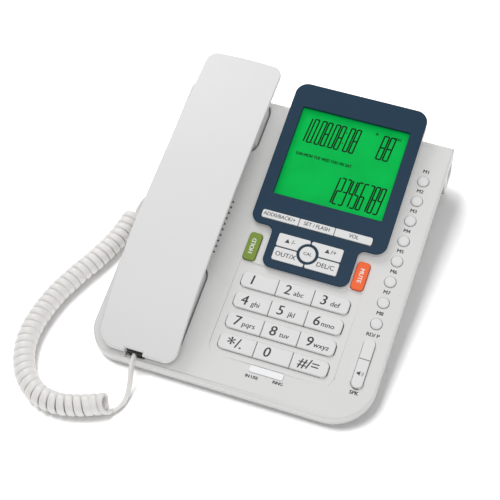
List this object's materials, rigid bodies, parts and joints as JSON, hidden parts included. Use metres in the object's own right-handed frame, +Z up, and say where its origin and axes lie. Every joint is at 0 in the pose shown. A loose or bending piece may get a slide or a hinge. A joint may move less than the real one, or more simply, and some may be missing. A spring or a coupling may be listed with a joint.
{
  "type": "corded desk telephone",
  "caption": "Corded desk telephone: wedge case with a large display on a raised navy head, push keys, memory keys, handset in two wells and a curly cord.",
  "frame": {"origin": "middle of the telephone's footprint without its cord, on the surface that its feet stand on", "axes": "+X to the right of a person at the keys, +Y away from them, +Z up"},
  "size_m": [0.2204, 0.2541, 0.0618],
  "materials": {
    "case_upper": "satin",
    "case_lower": "satin",
    "white_housing": "gloss",
    "navy_bezel": "satin",
    "display_window": "clear",
    "display": "lit",
    "light_lens": "frosted",
    "key_mat": "matte",
    "board": "satin",
    "hook": "satin",
    "sound_parts": "matte",
    "socket": "matte",
    "cells": "satin",
    "steel": "satin",
    "feet": "matte",
    "handset": "satin",
    "keys": "satin",
    "hold_key": "satin",
    "mute_key": "satin",
    "cord": "satin",
    "plug": "clear"
  },
  "bodies": {
    "case": {"top_case": "case_upper", "bottom_case": "case_lower", "display_housing": "white_housing", "display_bezel": "navy_bezel", "lcd_lens": "display_window", "lcd_module": "display", "indicator_lens": "light_lens", "key_mat": "key_mat", "main_board": "board", "loudspeaker": "sound_parts", "line_jack": "socket", "cord_jack": "socket", "battery_cells": "cells", "battery_contacts": "steel", "rubber_feet": "feet", "case_screws": "steel", "cord_coil": "cord", "handset_lead": "cord", "base_lead": "cord", "base_plug": "plug"},
    "handset": {"handset_back": "handset", "handset_front": "handset", "receiver": "sound_parts", "microphone": "sound_parts", "handset_jack": "socket", "handset_plug": "plug"},
    "hook": {"hook_plunger": "hook"},
    "door": {"battery_door": "case_lower"},
    "key_1_body": {"key_1": "keys"},
    "key_2_body": {"key_2": "keys"},
    "key_3_body": {"key_3": "keys"},
    "key_4_body": {"key_4": "keys"},
    "key_5_body": {"key_5": "keys"},
    "key_6_body": {"key_6": "keys"},
    "key_7_body": {"key_7": "keys"},
    "key_8_body": {"key_8": "keys"},
    "key_9_body": {"key_9": "keys"},
    "key_star_body": {"key_star": "keys"},
    "key_0_body": {"key_0": "keys"},
    "key_hash_body": {"key_hash": "keys"},
    "key_add_body": {"key_add": "keys"},
    "key_set_body": {"key_set": "keys"},
    "key_volume_body": {"key_volume": "keys"},
    "key_up_body": {"key_up": "keys"},
    "key_down_body": {"key_down": "keys"},
    "key_out_body": {"key_out": "keys"},
    "key_delete_body": {"key_delete": "keys"},
    "key_centre_body": {"key_centre": "keys"},
    "key_hold_body": {"key_hold": "hold_key"},
    "key_mute_body": {"key_mute": "mute_key"},
    "memory_1_body": {"memory_1": "keys"},
    "memory_2_body": {"memory_2": "keys"},
    "memory_3_body": {"memory_3": "keys"},
    "memory_4_body": {"memory_4": "keys"},
    "memory_5_body": {"memory_5": "keys"},
    "memory_6_body": {"memory_6": "keys"},
    "memory_7_body": {"memory_7": "keys"},
    "memory_8_body": {"memory_8": "keys"},
    "key_redial_body": {"key_redial": "keys"},
    "key_speaker_body": {"key_speaker": "keys"}
  },
  "joints": [
    {"name": "handset_lift", "type": "slide", "parent": "case", "child": "handset", "axis": [0, -0.1736, 0.9848], "range_m": [0, 0.08]},
    {"name": "hook_rise", "type": "slide", "parent": "case", "child": "hook", "axis": [0, -0.1736, 0.9848], "range_m": [0, 0.0033]},
    {"name": "door_slide", "type": "slide", "parent": "case", "child": "door", "axis": [0, 1, 0], "range_m": [0, 0.02]},
    {"name": "key_1_press", "type": "slide", "parent": "case", "child": "key_1_body", "axis": [0, 0.1736, -0.9848], "range_m": [0, 0.001], "stiffness_N_per_m": 300},
    {"name": "key_2_press", "type": "slide", "parent": "case", "child": "key_2_body", "axis": [0, 0.1736, -0.9848], "range_m": [0, 0.001], "stiffness_N_per_m": 300},
    {"name": "key_3_press", "type": "slide", "parent": "case", "child": "key_3_body", "axis": [0, 0.1736, -0.9848], "range_m": [0, 0.001], "stiffness_N_per_m": 300},
    {"name": "key_4_press", "type": "slide", "parent": "case", "child": "key_4_body", "axis": [0, 0.1736, -0.9848], "range_m": [0, 0.001], "stiffness_N_per_m": 300},
    {"name": "key_5_press", "type": "slide", "parent": "case", "child": "key_5_body", "axis": [0, 0.1736, -0.9848], "range_m": [0, 0.001], "stiffness_N_per_m": 300},
    {"name": "key_6_press", "type": "slide", "parent": "case", "child": "key_6_body", "axis": [0, 0.1736, -0.9848], "range_m": [0, 0.001], "stiffness_N_per_m": 300},
    {"name": "key_7_press", "type": "slide", "parent": "case", "child": "key_7_body", "axis": [0, 0.1736, -0.9848], "range_m": [0, 0.001], "stiffness_N_per_m": 300},
    {"name": "key_8_press", "type": "slide", "parent": "case", "child": "key_8_body", "axis": [0, 0.1736, -0.9848], "range_m": [0, 0.001], "stiffness_N_per_m": 300},
    {"name": "key_9_press", "type": "slide", "parent": "case", "child": "key_9_body", "axis": [0, 0.1736, -0.9848], "range_m": [0, 0.001], "stiffness_N_per_m": 300},
    {"name": "key_star_press", "type": "slide", "parent": "case", "child": "key_star_body", "axis": [0, 0.1736, -0.9848], "range_m": [0, 0.001], "stiffness_N_per_m": 300},
    {"name": "key_0_press", "type": "slide", "parent": "case", "child": "key_0_body", "axis": [0, 0.1736, -0.9848], "range_m": [0, 0.001], "stiffness_N_per_m": 300},
    {"name": "key_hash_press", "type": "slide", "parent": "case", "child": "key_hash_body", "axis": [0, 0.1736, -0.9848], "range_m": [0, 0.001], "stiffness_N_per_m": 300},
    {"name": "key_add_press", "type": "slide", "parent": "case", "child": "key_add_body", "axis": [0, 0.247, -0.969], "range_m": [0, 0.001], "stiffness_N_per_m": 300},
    {"name": "key_set_press", "type": "slide", "parent": "case", "child": "key_set_body", "axis": [0, 0.247, -0.969], "range_m": [0, 0.001], "stiffness_N_per_m": 300},
    {"name": "key_volume_press", "type": "slide", "parent": "case", "child": "key_volume_body", "axis": [0, 0.247, -0.969], "range_m": [0, 0.001], "stiffness_N_per_m": 300},
    {"name": "key_up_press", "type": "slide", "parent": "case", "child": "key_up_body", "axis": [0, 0.247, -0.969], "range_m": [0, 0.001], "stiffness_N_per_m": 300},
    {"name": "key_down_press", "type": "slide", "parent": "case", "child": "key_down_body", "axis": [0, 0.247, -0.969], "range_m": [0, 0.001], "stiffness_N_per_m": 300},
    {"name": "key_out_press", "type": "slide", "parent": "case", "child": "key_out_body", "axis": [0, 0.247, -0.969], "range_m": [0, 0.001], "stiffness_N_per_m": 300},
    {"name": "key_delete_press", "type": "slide", "parent": "case", "child": "key_delete_body", "axis": [0, 0.247, -0.969], "range_m": [0, 0.001], "stiffness_N_per_m": 300},
    {"name": "key_centre_press", "type": "slide", "parent": "case", "child": "key_centre_body", "axis": [0, 0.247, -0.969], "range_m": [0, 0.001], "stiffness_N_per_m": 300},
    {"name": "key_hold_press", "type": "slide", "parent": "case", "child": "key_hold_body", "axis": [0, 0.1736, -0.9848], "range_m": [0, 0.001], "stiffness_N_per_m": 300},
    {"name": "key_mute_press", "type": "slide", "parent": "case", "child": "key_mute_body", "axis": [0, 0.1736, -0.9848], "range_m": [0, 0.001], "stiffness_N_per_m": 300},
    {"name": "memory_1_press", "type": "slide", "parent": "case", "child": "memory_1_body", "axis": [0, 0.1736, -0.9848], "range_m": [0, 0.001], "stiffness_N_per_m": 300},
    {"name": "memory_2_press", "type": "slide", "parent": "case", "child": "memory_2_body", "axis": [0, 0.1736, -0.9848], "range_m": [0, 0.001], "stiffness_N_per_m": 300},
    {"name": "memory_3_press", "type": "slide", "parent": "case", "child": "memory_3_body", "axis": [0, 0.1736, -0.9848], "range_m": [0, 0.001], "stiffness_N_per_m": 300},
    {"name": "memory_4_press", "type": "slide", "parent": "case", "child": "memory_4_body", "axis": [0, 0.1736, -0.9848], "range_m": [0, 0.001], "stiffness_N_per_m": 300},
    {"name": "memory_5_press", "type": "slide", "parent": "case", "child": "memory_5_body", "axis": [0, 0.1736, -0.9848], "range_m": [0, 0.001], "stiffness_N_per_m": 300},
    {"name": "memory_6_press", "type": "slide", "parent": "case", "child": "memory_6_body", "axis": [0, 0.1736, -0.9848], "range_m": [0, 0.001], "stiffness_N_per_m": 300},
    {"name": "memory_7_press", "type": "slide", "parent": "case", "child": "memory_7_body", "axis": [0, 0.1736, -0.9848], "range_m": [0, 0.001], "stiffness_N_per_m": 300},
    {"name": "memory_8_press", "type": "slide", "parent": "case", "child": "memory_8_body", "axis": [0, 0.1736, -0.9848], "range_m": [0, 0.001], "stiffness_N_per_m": 300},
    {"name": "key_redial_press", "type": "slide", "parent": "case", "child": "key_redial_body", "axis": [0, 0.1736, -0.9848], "range_m": [0, 0.001], "stiffness_N_per_m": 300},
    {"name": "key_speaker_press", "type": "slide", "parent": "case", "child": "key_speaker_body", "axis": [0, 0.1736, -0.9848], "range_m": [0, 0.001], "stiffness_N_per_m": 300}
  ],
  "couplings": [
    {"joint": "hook_rise", "follows": "handset_lift", "ratio": 0.04}
  ]
}
